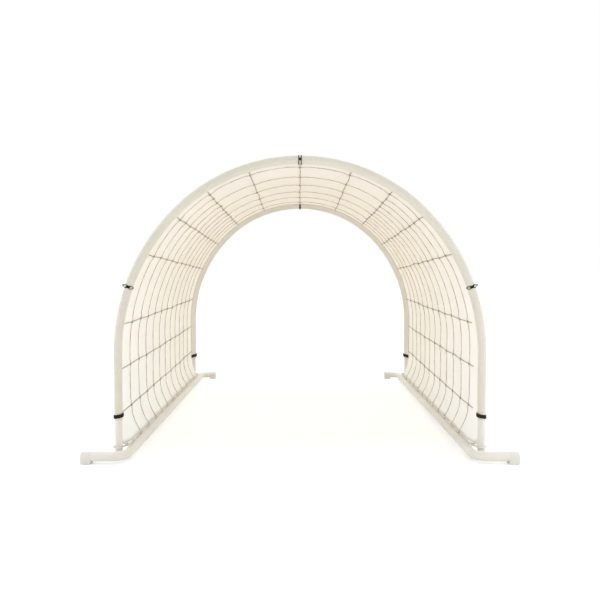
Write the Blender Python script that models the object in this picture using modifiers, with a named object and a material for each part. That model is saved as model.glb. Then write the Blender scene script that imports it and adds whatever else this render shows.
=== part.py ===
"""Dog agility tunnel: two tube arches plugged onto two base rails, with a cover, a net and black ties.

Metres, +Z up. The origin is on the floor under the middle of the tunnel, whose front is at -Y.
The arches, cover, net, hem ropes and ties lift off the rails as one piece.
"""

from math import acos, asin, cos, pi, radians, sin, sqrt

import bmesh
import bpy
from mathutils import Matrix, Vector

# Arches: half width to the tube's axis, and the bends that make the round top
TUNNEL_LENGTH = 1.000
ARCH_HALF_WIDTH = 0.390
SPRING_HEIGHT = 0.222
SHOULDER_RADIUS = 0.431
SHOULDER_ANGLE = radians(46.3)
ARCH_TUBE_RADIUS = 0.0080
ARCH_TUBE_WALL = 0.0015

# Base rails: a foot turned outwards at the front end and one turned inwards at the rear end
RAIL_RADIUS = 0.0100
RAIL_WALL = 0.0015
RAIL_TO_LEG_SPACE = 0.0055
FRONT_BEND_RADIUS = 0.030
REAR_BEND_RADIUS = 0.026
SEAT_TO_BEND = 0.0005
FRONT_FOOT_STRAIGHT = 0.0395
REAR_FOOT_STRAIGHT = 0.004

# Foot caps, which hold the rails clear of the floor
CAP_LENGTH = 0.022
CAP_END_WALL = 0.0035
CAP_WALL = 0.0010
CAP_LIFT = 0.0045
CAP_BEVEL = 0.0008

# Leg seats: a plate welded to the rail, with a spigot that the leg plugs over
SEAT_THICKNESS = 0.003
SEAT_HALF_WIDTH = 0.0095
SEAT_PAST_LEG = 0.002
SEAT_TOP = 0.0125
SPIGOT_HEIGHT = 0.060
SPIGOT_CLEARANCE = 0.0005

# Cover, hem sleeves and hem ropes: the cover stands a little outside the arches' axes
COVER_OFFSET = 0.0062
COVER_TO_SLEEVE_SPACE = 0.0006
SKIRT_TOP_ARC = 0.750
CLOTH_THICKNESS = 0.0012
SLEEVE_THICKNESS = 0.0005
SLEEVE_CLEARANCE = 0.0003
SLEEVE_PAST_LOW_TIE = 0.012
ROPE_RADIUS = 0.002
ROPE_SEAT_ANGLE = radians(60)
ROPE_STRAIGHT_END = 0.028
ROPE_KNOT_RADIUS = 0.0042
ROPE_KNOT_SETBACK = 0.014
ROPE_TURN = radians(310)

# Net: the ends of the lengthwise cords are lengths round the arch, measured from its crown.
# Every second hoop cord is open at the top: it starts OPEN_HOOP_CORD_COUNT cords from the crown.
NET_CORD_HALF_SIDE = 0.0011
NET_TO_CLOTH_SPACE = 0.0012
FRONT_CORD_ARCS = (0.0, 0.114, 0.215, 0.301, 0.404, 0.571, 0.669, 0.765)
REAR_CORD_ARCS = (0.0, 0.128, 0.237, 0.337, 0.441, 0.553, 0.652, 0.743)
WIDE_MESH_CORD = 4
OPEN_HOOP_CORD_COUNT = 2
HOOP_COUNT = 11
HOOP_SPACING = 0.0765

# Ties: straps round the tube and its sleeve, with an overlap pad
TIE_WIDTH = 0.010
TIE_THICKNESS = 0.0014
TIE_CLEARANCE = 0.0003
TIE_PAD_HALF_LENGTH = 0.0048
TIE_PAD_HEIGHT = 0.0016
TIE_SLIT_CLEARANCE = 0.0006
SIDE_TIE_ARC = 0.482
LOW_TIE_ARC = 0.762
TOP_TIE_SLACK = 0.0035
SIDE_TIE_SLACK = 0.0055

# Gap between meshes that touch on the real object
CONTACT_GAP = 0.0003
# How far a cutter passes the face that it opens
CUTTER_OVERRUN = 0.004

# Longest straight steps round the arch, and steps round the skirt's bend
TUBE_STEP = 0.048
CLOTH_STEP = 0.042
SKIRT_STEPS = 4
# Blender's bevel resolution of round sections
TUBE_RESOLUTION = 3
ROPE_RESOLUTION = 2

CREAM_PAINT = ("cream_paint", (0.86, 0.83, 0.76), 0.35, 0.0)
CAP_PLASTIC = ("cap_plastic", (0.78, 0.77, 0.72), 0.55, 0.0)
COVER_CLOTH = ("cover_cloth", (0.92, 0.86, 0.74), 0.85, 0.0)
SLEEVE_CLOTH = ("sleeve_cloth", (0.90, 0.87, 0.80), 0.85, 0.0)
NET_CORD = ("net_cord", (0.55, 0.48, 0.38), 0.90, 0.0)
HEM_ROPE = ("hem_rope", (0.62, 0.56, 0.46), 0.90, 0.0)
TIE_STRAP = ("tie_strap", (0.02, 0.02, 0.018), 0.60, 0.0)

HALF_LENGTH = TUNNEL_LENGTH / 2
CROWN_ANGLE = pi / 2 - SHOULDER_ANGLE
CROWN_RADIUS = (ARCH_HALF_WIDTH - SHOULDER_RADIUS * (1 - cos(SHOULDER_ANGLE))) / cos(SHOULDER_ANGLE)
CROWN_CENTRE_HEIGHT = (
    SPRING_HEIGHT + SHOULDER_RADIUS * sin(SHOULDER_ANGLE) - CROWN_RADIUS * sin(SHOULDER_ANGLE)
)
CROWN_ARC = CROWN_RADIUS * CROWN_ANGLE
SPRING_ARC = CROWN_ARC + SHOULDER_RADIUS * SHOULDER_ANGLE
LEG_FOOT_HEIGHT = SEAT_TOP + CONTACT_GAP
LEG_FOOT_ARC = SPRING_ARC + SPRING_HEIGHT - LEG_FOOT_HEIGHT
ARCH_BORE_RADIUS = ARCH_TUBE_RADIUS - ARCH_TUBE_WALL
SPIGOT_RADIUS = ARCH_BORE_RADIUS - SPIGOT_CLEARANCE

RAIL_HEIGHT = CAP_LIFT + RAIL_RADIUS
RAIL_X = ARCH_HALF_WIDTH - ARCH_TUBE_RADIUS - RAIL_TO_LEG_SPACE - RAIL_RADIUS
FOOT_Y = HALF_LENGTH + SEAT_HALF_WIDTH + SEAT_TO_BEND + max(FRONT_BEND_RADIUS, REAR_BEND_RADIUS)
FRONT_FOOT_REACH = FRONT_BEND_RADIUS + FRONT_FOOT_STRAIGHT + CAP_LENGTH
REAR_FOOT_REACH = REAR_BEND_RADIUS + REAR_FOOT_STRAIGHT + CAP_LENGTH
CAP_BORE_RADIUS = RAIL_RADIUS + CONTACT_GAP
CAP_RADIUS = CAP_BORE_RADIUS + CAP_WALL

SLEEVE_BORE_RADIUS = ARCH_TUBE_RADIUS + SLEEVE_CLEARANCE
SLEEVE_RADIUS = SLEEVE_BORE_RADIUS + SLEEVE_THICKNESS
SLEEVE_END_ARC = LOW_TIE_ARC + SLEEVE_PAST_LOW_TIE
TIE_BORE_RADIUS = SLEEVE_RADIUS + TIE_CLEARANCE
TIE_RADIUS = TIE_BORE_RADIUS + TIE_THICKNESS

ROPE_TO_RAIL = RAIL_RADIUS + CONTACT_GAP + ROPE_RADIUS
ROPE_X = RAIL_X + ROPE_TO_RAIL * cos(ROPE_SEAT_ANGLE)
ROPE_HEIGHT = RAIL_HEIGHT + ROPE_TO_RAIL * sin(ROPE_SEAT_ANGLE)
ROPE_TURN_RADIUS = ARCH_TUBE_RADIUS + CONTACT_GAP + ROPE_RADIUS

# The cover's skirt: a round bend in to the hem rope, cut back to clear the bare legs
SKIRT_TOP_HEIGHT = SPRING_HEIGHT - (SKIRT_TOP_ARC - SPRING_ARC)
SKIRT_DROP = SKIRT_TOP_HEIGHT - ROPE_HEIGHT - ROPE_RADIUS - CLOTH_THICKNESS
SKIRT_INSET = ARCH_HALF_WIDTH + COVER_OFFSET - ROPE_X
SKIRT_RADIUS = (SKIRT_INSET**2 + SKIRT_DROP**2) / (2 * SKIRT_INSET)
SKIRT_ANGLE = asin(SKIRT_DROP / SKIRT_RADIUS)
SKIRT_HALF_LENGTH = HALF_LENGTH - SLEEVE_RADIUS - CONTACT_GAP
HEM_ARC = SKIRT_TOP_ARC + SKIRT_RADIUS * SKIRT_ANGLE
COVER_TO_SLEEVE_AXIS = SLEEVE_RADIUS + COVER_TO_SLEEVE_SPACE
COVER_INNER_OFFSET = COVER_OFFSET - CLOTH_THICKNESS / 2
COVER_HALF_LENGTH = HALF_LENGTH - sqrt(COVER_TO_SLEEVE_AXIS**2 - COVER_INNER_OFFSET**2)
NET_DEPTH = CLOTH_THICKNESS / 2 + NET_TO_CLOTH_SPACE + NET_CORD_HALF_SIDE
NET_HALF_LENGTH = HALF_LENGTH - TIE_RADIUS - CONTACT_GAP

SIDES = (("left", -1), ("right", 1))
ENDS = (("front", -1), ("rear", 1))


def clear_scene():
    for obj in list(bpy.data.objects):
        bpy.data.objects.remove(obj, do_unlink=True)


def new_collection(name):
    collection = bpy.data.collections.new(name)
    bpy.context.scene.collection.children.link(collection)
    return collection


def principled(name, colour, roughness, metallic):
    material = bpy.data.materials.get(name)
    if material:
        return material
    material = bpy.data.materials.new(name)
    material.use_nodes = True
    shader = material.node_tree.nodes["Principled BSDF"]
    shader.inputs["Base Color"].default_value = (*colour, 1.0)
    shader.inputs["Roughness"].default_value = roughness
    shader.inputs["Metallic"].default_value = metallic
    material.diffuse_color = (*colour, 1.0)
    return material


def add_object(name, data, collection):
    obj = bpy.data.objects.new(name, data)
    collection.objects.link(obj)
    return obj


def dress(obj, finish):
    obj.data.materials.clear()
    obj.data.materials.append(principled(*finish))
    return obj


def make_cutter(obj):
    obj.hide_render = True
    obj.display_type = "WIRE"
    return obj


def tube_curve(name, points, radius, resolution, collection):
    """A round bar along a polyline, with its ends filled."""
    curve = bpy.data.curves.new(name, "CURVE")
    curve.dimensions = "3D"
    curve.bevel_depth = radius
    curve.bevel_resolution = resolution
    curve.use_fill_caps = True
    spline = curve.splines.new("POLY")
    spline.points.add(len(points) - 1)
    for knot, point in zip(spline.points, points):
        knot.co = (*point, 1.0)
    return add_object(name, curve, collection)


def flat_curve(name, outlines, thickness, collection):
    """A flat plate from closed outlines, the inner ones being holes, centred on its own XY plane."""
    curve = bpy.data.curves.new(name, "CURVE")
    curve.dimensions = "2D"
    curve.fill_mode = "BOTH"
    curve.extrude = thickness / 2
    for outline in outlines:
        spline = curve.splines.new("POLY")
        spline.points.add(len(outline) - 1)
        for knot, point in zip(spline.points, outline):
            knot.co = (*point, 0.0, 1.0)
        spline.use_cyclic_u = True
    return add_object(name, curve, collection)


def as_mesh(obj, collection):
    """Turn an object into a mesh with its caps welded, in the same place and under the same name."""
    bpy.context.view_layer.update()
    graph = bpy.context.evaluated_depsgraph_get()
    mesh = bpy.data.meshes.new_from_object(obj.evaluated_get(graph))
    shape = bmesh.new()
    shape.from_mesh(mesh)
    bmesh.ops.remove_doubles(shape, verts=shape.verts, dist=0.00001)
    bmesh.ops.recalc_face_normals(shape, faces=shape.faces)
    shape.to_mesh(mesh)
    shape.free()
    name = obj.name
    place = obj.matrix_world.copy()
    bpy.data.objects.remove(obj, do_unlink=True)
    made = add_object(name, mesh, collection)
    made.matrix_world = place
    return made


def boolean(obj, tool, operation):
    modifier = obj.modifiers.new(f"{operation.lower()} {tool.name}", "BOOLEAN")
    modifier.operation = operation
    modifier.solver = "EXACT"
    modifier.object = tool
    make_cutter(tool)


def cylinder(name, radius, low, high, collection, sides=24):
    """An upright cylinder between two heights, on its own Z axis."""
    shape = bmesh.new()
    bmesh.ops.create_cone(
        shape, cap_ends=True, segments=sides, radius1=radius, radius2=radius, depth=high - low
    )
    bmesh.ops.translate(shape, verts=shape.verts, vec=(0, 0, (low + high) / 2))
    mesh = bpy.data.meshes.new(name)
    shape.to_mesh(mesh)
    shape.free()
    return add_object(name, mesh, collection)


def block(name, low, high, collection):
    """A box between two corners."""
    shape = bmesh.new()
    bmesh.ops.create_cube(shape, size=1.0)
    size = Vector(high) - Vector(low)
    middle = (Vector(high) + Vector(low)) / 2
    bmesh.ops.scale(shape, verts=shape.verts, vec=size)
    bmesh.ops.translate(shape, verts=shape.verts, vec=middle)
    mesh = bpy.data.meshes.new(name)
    shape.to_mesh(mesh)
    shape.free()
    return add_object(name, mesh, collection)


def smooth(obj, angle=40):
    obj.data.shade_smooth()
    obj.data.set_sharp_from_angle(angle=radians(angle))
    return obj


def section(arc, offset=0.0):
    """Place and outward direction, each (x, z), at a length round the arch from its crown.

    The right half has positive lengths.
    """
    side = -1 if arc < 0 else 1
    length = abs(arc)
    if length <= CROWN_ARC:
        turn = length / CROWN_RADIUS
        centre = (0.0, CROWN_CENTRE_HEIGHT)
        radius = CROWN_RADIUS
    elif length <= SPRING_ARC:
        turn = CROWN_ANGLE + (length - CROWN_ARC) / SHOULDER_RADIUS
        centre = (ARCH_HALF_WIDTH - SHOULDER_RADIUS, SPRING_HEIGHT)
        radius = SHOULDER_RADIUS
    else:
        turn = pi / 2
        centre = (ARCH_HALF_WIDTH, SPRING_HEIGHT - (length - SPRING_ARC))
        radius = 0.0
    outward = (side * sin(turn), cos(turn))
    place = (
        side * (centre[0] + (radius + offset) * sin(turn)),
        centre[1] + (radius + offset) * cos(turn),
    )
    return place, outward


def cloth_place(arc, offset=0.0):
    """Place (x, z) on the cover's middle surface, or off it, where the cover's skirt bends in."""
    length = abs(arc)
    if length <= SKIRT_TOP_ARC:
        return section(arc, COVER_OFFSET + offset)[0]
    side = -1 if arc < 0 else 1
    turn = (length - SKIRT_TOP_ARC) / SKIRT_RADIUS
    centre_x = ARCH_HALF_WIDTH + COVER_OFFSET - SKIRT_RADIUS
    radius = SKIRT_RADIUS + offset
    return side * (centre_x + radius * cos(turn)), SKIRT_TOP_HEIGHT - radius * sin(turn)


def arc_steps(stops, longest):
    """Lengths round the arch from its left end to its right end: the stops, with even steps between."""
    half = [0.0]
    for low, high in zip(stops, stops[1:]):
        count = int((high - low) / longest) + 1
        half += [low + (high - low) * (step + 1) / count for step in range(count)]
    return [-arc for arc in half[:0:-1]] + half


def tube_path(end_y, last_arc):
    """An arch's axis, straight under each tie."""
    straight = TIE_WIDTH / 2 + TIE_SLIT_CLEARANCE
    stops = [0.0, straight, SIDE_TIE_ARC - straight, SIDE_TIE_ARC + straight, SPRING_ARC, last_arc]
    return [(x, end_y, z) for (x, z), _ in (section(arc) for arc in arc_steps(stops, TUBE_STEP))]


def hollow_tube(name, points, radius, bore_radius, overrun, parts, cutters):
    """A bent tube, open at both ends."""
    tube = as_mesh(tube_curve(name, points, radius, TUBE_RESOLUTION, parts), parts)
    first = Vector(points[0])
    last = Vector(points[-1])
    before = first + (first - Vector(points[1])).normalized() * overrun
    after = last + (last - Vector(points[-2])).normalized() * overrun
    route = [before, *points[1:-1], after]
    bore = as_mesh(
        tube_curve(f"{name}_bore", route, bore_radius, TUBE_RESOLUTION, cutters), cutters
    )
    boolean(tube, bore, "DIFFERENCE")
    return smooth(tube)


def make_arches(parts, cutters):
    for end_name, end in ENDS:
        path = tube_path(end * HALF_LENGTH, LEG_FOOT_ARC)
        arch = hollow_tube(
            f"{end_name}_arch",
            path,
            ARCH_TUBE_RADIUS,
            ARCH_BORE_RADIUS,
            CUTTER_OVERRUN,
            parts,
            cutters,
        )
        dress(arch, CREAM_PAINT)


def bend_points(centre, radius, start_angle, end_angle, steps=6):
    """Points round a level bend of the rail, with both ends."""
    made = []
    for step in range(steps + 1):
        angle = start_angle + (end_angle - start_angle) * step / steps
        made.append((centre[0] + radius * cos(angle), centre[1] + radius * sin(angle)))
    return made


def rail_path(side):
    """The rail's axis, from the end of its front foot to the end of its rear foot."""
    front_centre = (RAIL_X + FRONT_BEND_RADIUS, FRONT_BEND_RADIUS - FOOT_Y)
    rear_centre = (RAIL_X - REAR_BEND_RADIUS, FOOT_Y - REAR_BEND_RADIUS)
    front_bend = bend_points(front_centre, FRONT_BEND_RADIUS, 3 * pi / 2, pi)
    rear_bend = bend_points(rear_centre, REAR_BEND_RADIUS, 0, pi / 2)
    level = [(RAIL_X + FRONT_FOOT_REACH - CAP_END_WALL, -FOOT_Y)]
    level += front_bend
    level += rear_bend
    level.append((RAIL_X - REAR_FOOT_REACH + CAP_END_WALL, FOOT_Y))
    return [(side * x, y, RAIL_HEIGHT) for x, y in level]


def make_rails(parts, cutters):
    for side_name, side in SIDES:
        rail = hollow_tube(
            f"{side_name}_rail",
            rail_path(side),
            RAIL_RADIUS,
            RAIL_RADIUS - RAIL_WALL,
            CUTTER_OVERRUN,
            parts,
            cutters,
        )
        dress(rail, CREAM_PAINT)


def cap_outline(steps=10):
    """A foot cap seen along its rail, whose axis is the origin: round on top and flat on the floor."""
    round_top = []
    for step in range(steps + 1):
        angle = pi * step / steps
        round_top.append((CAP_RADIUS * cos(angle), CAP_RADIUS * sin(angle)))
    flat = [(-CAP_RADIUS, -RAIL_HEIGHT), (CAP_RADIUS, -RAIL_HEIGHT)]
    return round_top + flat


def make_cap(name, end_x, y, out, parts, cutters):
    """A foot cap whose closed end is at end_x and faces along out, which is 1 or -1 on X."""
    middle_x = end_x - out * CAP_LENGTH / 2
    cap = flat_curve(name, [cap_outline()], CAP_LENGTH, parts)
    cap.matrix_world = Matrix.Translation((middle_x, y, RAIL_HEIGHT)) @ Matrix(
        ((0, 0, 1, 0), (1, 0, 0, 0), (0, 1, 0, 0), (0, 0, 0, 1))
    )
    cap = as_mesh(cap, parts)
    bevel = cap.modifiers.new("edges", "BEVEL")
    bevel.width = CAP_BEVEL
    bevel.segments = 1
    bevel.limit_method = "ANGLE"
    bevel.angle_limit = radians(50)
    socket = cylinder(
        f"{name}_socket",
        CAP_BORE_RADIUS,
        -CUTTER_OVERRUN,
        CAP_LENGTH - CAP_END_WALL + CONTACT_GAP,
        cutters,
    )
    mouth_x = end_x - out * CAP_LENGTH
    socket.matrix_world = Matrix.Translation((mouth_x, y, RAIL_HEIGHT)) @ Matrix.Rotation(
        out * pi / 2, 4, "Y"
    )
    boolean(cap, socket, "DIFFERENCE")
    dress(smooth(cap), CAP_PLASTIC)


def make_caps(parts, cutters):
    for side_name, side in SIDES:
        front_x = side * (RAIL_X + FRONT_FOOT_REACH)
        make_cap(f"front_{side_name}_foot_cap", front_x, -FOOT_Y, side, parts, cutters)
        rear_x = side * (RAIL_X - REAR_FOOT_REACH)
        make_cap(f"rear_{side_name}_foot_cap", rear_x, FOOT_Y, -side, parts, cutters)


def make_seats(parts, cutters):
    """The plate and spigot under each leg. The plate's inner edge follows the rail that it is welded to."""
    for end_name, end in ENDS:
        for side_name, side in SIDES:
            name = f"{end_name}_{side_name}_leg_seat"
            inner = side * RAIL_X
            outer = side * (ARCH_HALF_WIDTH + ARCH_TUBE_RADIUS + SEAT_PAST_LEG)
            middle_y = end * HALF_LENGTH
            low = (min(inner, outer), middle_y - SEAT_HALF_WIDTH, SEAT_TOP - SEAT_THICKNESS)
            high = (max(inner, outer), middle_y + SEAT_HALF_WIDTH, SEAT_TOP)
            seat = block(name, low, high, parts)
            spigot = cylinder(
                f"{name}_spigot",
                SPIGOT_RADIUS,
                SEAT_TOP - SEAT_THICKNESS / 2,
                SEAT_TOP + SPIGOT_HEIGHT,
                cutters,
            )
            spigot.location = (side * ARCH_HALF_WIDTH, middle_y, 0)
            boolean(seat, spigot, "UNION")
            saddle = cylinder(
                f"{name}_saddle",
                RAIL_RADIUS + CONTACT_GAP,
                -2 * SEAT_HALF_WIDTH,
                2 * SEAT_HALF_WIDTH,
                cutters,
            )
            saddle.matrix_world = Matrix.Translation((inner, middle_y, RAIL_HEIGHT)) @ Matrix.Rotation(
                pi / 2, 4, "X"
            )
            boolean(seat, saddle, "DIFFERENCE")
            trim = block(
                f"{name}_trim",
                (min(inner, 0), middle_y - 2 * SEAT_HALF_WIDTH, 0),
                (max(inner, 0), middle_y + 2 * SEAT_HALF_WIDTH, RAIL_HEIGHT),
                cutters,
            )
            boolean(seat, trim, "DIFFERENCE")
            dress(smooth(seat), CREAM_PAINT)


def tie_places():
    """Name, length round the arch, end of the tunnel and slack of each tie."""
    places = []
    for end_name, end in ENDS:
        places.append((f"{end_name}_top_tie", 0.0, end, TOP_TIE_SLACK))
        for side_name, side in SIDES:
            places.append((f"{end_name}_{side_name}_low_tie", side * LOW_TIE_ARC, end, 0.0))
    for side_name, side in SIDES:
        places.append((f"front_{side_name}_side_tie", side * SIDE_TIE_ARC, -1, SIDE_TIE_SLACK))
    return places


def tie_frame(arc, end):
    """The place of a tie: its X points out of the arch, its Y out of the tunnel, its Z along the tube."""
    (x, z), (out_x, out_z) = section(arc)
    outward = Vector((out_x, 0, out_z))
    away = Vector((0, end, 0))
    along = outward.cross(away)
    turn = Matrix((outward, away, along)).transposed().to_4x4()
    return Matrix.Translation((x, end * HALF_LENGTH, z)) @ turn


def half_round(centre_x, radius, start, end, steps=8):
    made = []
    for step in range(steps + 1):
        angle = start + (end - start) * step / steps
        made.append((centre_x + radius * cos(angle), radius * sin(angle)))
    return made


def tie_outlines(slack):
    """A strap seen edge on: a loop round the tube, drawn out by the slack, with its overlap pad."""
    pad_angle = acos((TIE_PAD_HALF_LENGTH - slack / 2) / TIE_RADIUS)
    pad_y = TIE_RADIUS + TIE_PAD_HEIGHT
    outer = half_round(slack, TIE_RADIUS, -pi / 2, pad_angle)
    outer.append((slack / 2 + TIE_PAD_HALF_LENGTH, pad_y))
    outer.append((slack / 2 - TIE_PAD_HALF_LENGTH, pad_y))
    outer += half_round(0.0, TIE_RADIUS, pi - pad_angle, 3 * pi / 2)
    inner = half_round(slack, TIE_BORE_RADIUS, -pi / 2, pi / 2)
    inner += half_round(0.0, TIE_BORE_RADIUS, pi / 2, 3 * pi / 2)
    return [drop_repeats(outer), drop_repeats(inner)]


def drop_repeats(points):
    """The closed outline without points that fall on the one before."""
    kept = []
    for point in points:
        if not kept or (Vector(point) - Vector(kept[-1])).length > CONTACT_GAP / 10:
            kept.append(point)
    if (Vector(kept[0]) - Vector(kept[-1])).length < CONTACT_GAP / 10:
        kept.pop()
    return kept


def make_ties(parts):
    for name, arc, end, slack in tie_places():
        tie = flat_curve(name, tie_outlines(slack), TIE_WIDTH, parts)
        tie.matrix_world = tie_frame(arc, end)
        dress(smooth(as_mesh(tie, parts)), TIE_STRAP)


def make_sleeves(parts, cutters):
    for end_name, end in ENDS:
        path = tube_path(end * HALF_LENGTH, SLEEVE_END_ARC)
        sleeve = hollow_tube(
            f"{end_name}_hem_sleeve",
            path,
            SLEEVE_RADIUS,
            SLEEVE_BORE_RADIUS,
            CUTTER_OVERRUN,
            parts,
            cutters,
        )
        dress(sleeve, SLEEVE_CLOTH)


def make_cover(parts, cutters):
    """The cloth between the arches, an open surface given its thickness, with a slit for each tie."""
    curve = bpy.data.curves.new("cover_panel", "CURVE")
    curve.dimensions = "2D"
    curve.fill_mode = "NONE"
    curve.extrude = COVER_HALF_LENGTH
    skirt = HEM_ARC - SKIRT_TOP_ARC
    stops = [0.0] + [SKIRT_TOP_ARC + skirt * step / SKIRT_STEPS for step in range(SKIRT_STEPS + 1)]
    places = [cloth_place(arc) for arc in arc_steps(stops, CLOTH_STEP)]
    spline = curve.splines.new("POLY")
    spline.points.add(len(places) - 1)
    for knot, (x, z) in zip(spline.points, places):
        knot.co = (x, z, 0.0, 1.0)
    cover = add_object("cover_panel", curve, parts)
    cover.matrix_world = Matrix.Rotation(pi / 2, 4, "X")
    cover = as_mesh(cover, parts)
    thicken = cover.modifiers.new("thickness", "SOLIDIFY")
    thicken.thickness = CLOTH_THICKNESS
    thicken.offset = 0
    slit_depth = TIE_RADIUS + TIE_SLIT_CLEARANCE
    slit_half_width = TIE_WIDTH / 2 + TIE_SLIT_CLEARANCE
    for name, arc, end, _ in tie_places():
        slit = block(
            f"{name}_slit",
            (-slit_depth, -slit_depth, -slit_half_width),
            (slit_depth, slit_depth, slit_half_width),
            cutters,
        )
        slit.matrix_world = tie_frame(arc, end)
        boolean(cover, slit, "DIFFERENCE")
    for end_name, end in ENDS:
        near = end * SKIRT_HALF_LENGTH
        far = end * (HALF_LENGTH + CUTTER_OVERRUN)
        cut_back = block(
            f"{end_name}_skirt_cut_back",
            (-ARCH_HALF_WIDTH - SKIRT_INSET, min(near, far), 0),
            (ARCH_HALF_WIDTH + SKIRT_INSET, max(near, far), SKIRT_TOP_HEIGHT),
            cutters,
        )
        boolean(cover, cut_back, "DIFFERENCE")
    dress(smooth(cover), COVER_CLOTH)


def cord_arc(cord, y):
    """Where a lengthwise cord lies: it runs straight from its front end to its rear end."""
    share = (y + NET_HALF_LENGTH) / (2 * NET_HALF_LENGTH)
    return FRONT_CORD_ARCS[cord] + (REAR_CORD_ARCS[cord] - FRONT_CORD_ARCS[cord]) * share


def hoop_stations(first_cord, y):
    """Points of a hoop cord down one side: its length round the arch, and the cord that it crosses."""
    stations = []
    for cord in range(first_cord, len(FRONT_CORD_ARCS)):
        stations.append((cord_arc(cord, y), cord))
        if cord == WIDE_MESH_CORD:
            stations.append(((cord_arc(cord, y) + cord_arc(cord + 1, y)) / 2, None))
    stations.append((HEM_ARC, None))
    return stations


def net_grid():
    """Points and edges of the net: hoop cords across the tunnel and straight cords along it."""
    points = []
    edges = []

    def add_point(arc, y):
        x, z = cloth_place(arc, -NET_DEPTH)
        points.append((x, y, z))
        return len(points) - 1

    cords = [(0, 0)]
    cords += [(side, cord) for _, side in SIDES for cord in range(1, len(FRONT_CORD_ARCS))]
    chains = {}
    for side, cord in cords:
        chains[side, cord] = [add_point(side * FRONT_CORD_ARCS[cord], -NET_HALF_LENGTH)]
    for row in range(HOOP_COUNT):
        y = HOOP_SPACING * (row - (HOOP_COUNT - 1) / 2)
        if row % 2 == 0:
            chains[0, 0].append(add_point(0.0, y))
        for _, side in SIDES:
            hoop = [] if row % 2 else [chains[0, 0][-1]]
            for arc, cord in hoop_stations(OPEN_HOOP_CORD_COUNT if row % 2 else 1, y):
                hoop.append(add_point(side * arc, y))
                if cord is not None:
                    chains[side, cord].append(hoop[-1])
            edges += zip(hoop, hoop[1:])
    for side, cord in cords:
        chains[side, cord].append(add_point(side * REAR_CORD_ARCS[cord], NET_HALF_LENGTH))
        edges += zip(chains[side, cord], chains[side, cord][1:])
    return points, edges


def make_net(parts):
    """Knotted cords in one piece, made by giving the lines of a grid their thickness."""
    points, edges = net_grid()
    mesh = bpy.data.meshes.new("net")
    mesh.from_pydata(points, edges, [])
    net = add_object("net", mesh, parts)
    skin = net.modifiers.new("cord", "SKIN")
    skin.branch_smoothing = 0
    skin.use_x_symmetry = False
    for vertex in mesh.skin_vertices[0].data:
        vertex.radius = (NET_CORD_HALF_SIDE, NET_CORD_HALF_SIDE)
    net = as_mesh(net, parts)
    dress(net, NET_CORD)


def rope_end(end, steps=11):
    """One end of the right hem rope, from its straight run to the leg, round it and back to the knot."""
    leg_y = end * HALF_LENGTH
    made = [(ROPE_X, leg_y - end * ROPE_STRAIGHT_END)]
    made.append(((ROPE_X + ARCH_HALF_WIDTH - ROPE_TURN_RADIUS) / 2, leg_y - end * ROPE_STRAIGHT_END / 2))
    for step in range(steps + 1):
        angle = pi + ROPE_TURN * step / steps
        made.append(
            (
                ARCH_HALF_WIDTH + ROPE_TURN_RADIUS * cos(angle),
                leg_y - end * ROPE_TURN_RADIUS * sin(angle),
            )
        )
    return made


def make_ropes(parts, cutters):
    """A rope in the cover's lower hem, lying on the rail and knotted round both legs."""
    for side_name, side in SIDES:
        level = rope_end(-1)[::-1] + rope_end(1)
        route = [(side * x, y, ROPE_HEIGHT) for x, y in level]
        name = f"{side_name}_hem_rope"
        rope = as_mesh(tube_curve(name, route, ROPE_RADIUS, ROPE_RESOLUTION, parts), parts)
        for end_name, end in ENDS:
            shape = bmesh.new()
            bmesh.ops.create_icosphere(shape, subdivisions=2, radius=ROPE_KNOT_RADIUS)
            mesh = bpy.data.meshes.new(f"{name}_{end_name}_knot")
            shape.to_mesh(mesh)
            shape.free()
            knot = add_object(mesh.name, mesh, cutters)
            knot_x = (ROPE_X + ARCH_HALF_WIDTH - ROPE_TURN_RADIUS) / 2
            knot.location = (side * knot_x, end * (HALF_LENGTH - ROPE_KNOT_SETBACK), ROPE_HEIGHT)
            boolean(rope, knot, "UNION")
        dress(smooth(rope), HEM_ROPE)


def parent_to_empty(name, height, pieces, collection):
    """Hang the pieces of one moving body on an empty, on the line that the body slides along."""
    empty = add_object(name, None, collection)
    empty.location = (0, 0, height)
    bpy.context.view_layer.update()
    for piece in pieces:
        piece.parent = empty
        piece.matrix_parent_inverse = empty.matrix_world.inverted()


def main():
    clear_scene()
    parts = new_collection("dog_agility_tunnel")
    cutters = new_collection("cutters")
    make_rails(parts, cutters)
    make_caps(parts, cutters)
    make_seats(parts, cutters)
    base_pieces = list(parts.objects)
    make_arches(parts, cutters)
    make_sleeves(parts, cutters)
    make_cover(parts, cutters)
    make_net(parts)
    make_ropes(parts, cutters)
    make_ties(parts)
    canopy_pieces = [piece for piece in parts.objects if piece not in base_pieces]
    parent_to_empty("rails", 0.0, base_pieces, parts)
    parent_to_empty("canopy", SEAT_TOP, canopy_pieces, parts)


main()
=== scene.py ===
"""The looks of the dog agility tunnel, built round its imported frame.

Metres, +Z up. The tunnel runs along Y with its front at -Y.
Lengths called arcs run round the arch from its crown.
"""

from math import acos, asin, atan2, cos, pi, radians, sin

import bmesh
import bpy
from mathutils import Matrix, Vector, noise


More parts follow.
